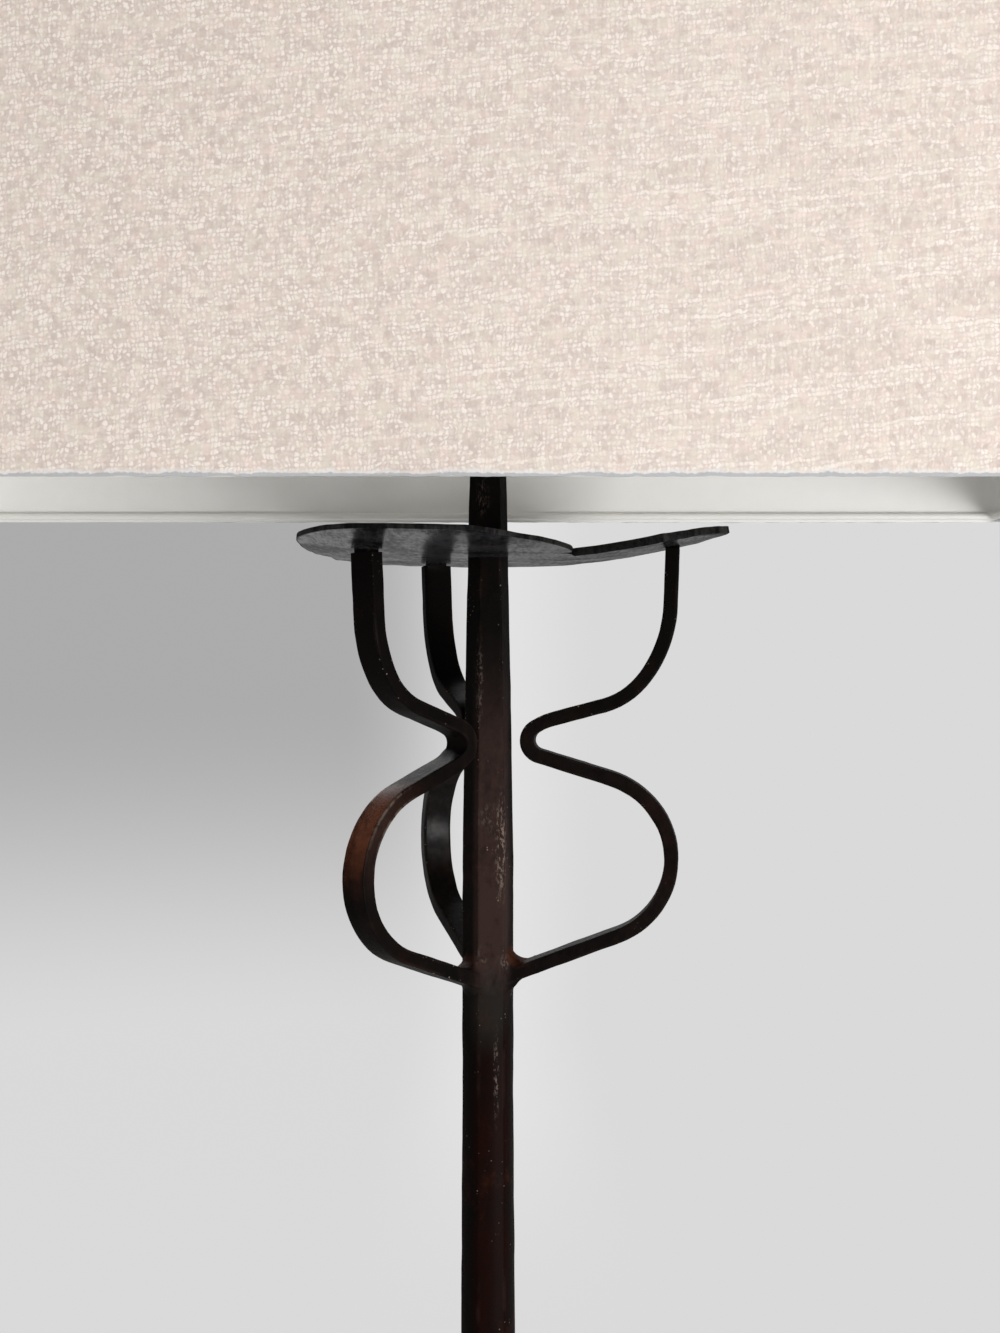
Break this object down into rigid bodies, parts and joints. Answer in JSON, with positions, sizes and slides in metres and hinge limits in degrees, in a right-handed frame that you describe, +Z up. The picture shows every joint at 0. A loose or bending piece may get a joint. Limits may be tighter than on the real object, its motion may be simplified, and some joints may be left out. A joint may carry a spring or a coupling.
{
  "type": "floor lamp",
  "caption": "Forged iron floor lamp: tripod foot, tapering hexagonal stem, scroll brackets under a leaf-shaped tray, and a rectangular linen shade on a harp.",
  "frame": {"origin": "on the floor, on the stem's axis and in the middle of the shade and the tripod", "axes": "+Z up along the stem, +X to the right along the shade's long side, -Y to the front, where the picture was taken from"},
  "size_m": [0.58, 0.4122, 1.532],
  "materials": {
    "forged_iron": "dark brown waxed patina",
    "tray_iron": "dark grey, semi-gloss",
    "brass": "satin",
    "steel": "nickel plated",
    "moulding": "phenolic moulding",
    "card": "matte",
    "black_rubber": "matte",
    "opal_glass": "opal, satin",
    "white_wire": "powder coat",
    "white_backing": "satin sheet",
    "linen": "coarse slubbed linen"
  },
  "bodies": {
    "stand": {"stem": "forged_iron", "cord_grommet": "black_rubber", "leg_right": "forged_iron", "leg_rear": "forged_iron", "leg_front": "forged_iron", "leg_welds": "forged_iron", "tray": "tray_iron", "tray_bracket_right": "forged_iron", "tray_bracket_rear": "forged_iron", "tray_bracket_left": "forged_iron", "bracket_welds": "forged_iron", "threaded_nipple": "brass", "stem_washer": "brass", "harp_saddle": "brass", "saddle_nut": "brass", "harp": "brass", "harp_stud": "brass", "holder_cap": "brass", "cap_screw": "steel", "holder_shell": "brass", "holder_liner": "card", "holder_core": "moulding", "screw_contact": "brass", "centre_contact": "brass", "terminal_screws": "steel", "bulb_glass": "opal_glass", "bulb_cap": "steel", "bulb_insulator": "moulding", "bulb_contact": "steel", "bulb_filament": "steel", "finial": "forged_iron"},
    "shade": {"shade_lower_frame": "white_wire", "shade_upper_frame": "white_wire", "shade_spider": "white_wire", "spider_washer": "brass", "shade_backing": "white_backing", "shade_linen": "linen"},
    "switch": {"switch_shaft": "steel", "switch_knob": "moulding"},
    "sleeve_left": {"harp_sleeve_left": "brass"},
    "sleeve_right": {"harp_sleeve_right": "brass"}
  },
  "joints": [
    {"name": "shade_swivel", "type": "hinge", "parent": "stand", "child": "shade", "pos_m": [0, 0, 1.499], "axis": [0, 0, 1], "continuous": true},
    {"name": "switch_turn", "type": "hinge", "parent": "stand", "child": "switch", "pos_m": [0, -0.02, 1.288], "axis": [0, -1, 0], "continuous": true},
    {"name": "sleeve_left_lift", "type": "slide", "parent": "stand", "child": "sleeve_left", "axis": [0, 0, 1], "range_m": [0, 0.015]},
    {"name": "sleeve_right_lift", "type": "slide", "parent": "stand", "child": "sleeve_right", "axis": [0, 0, 1], "range_m": [0, 0.015]}
  ]
}
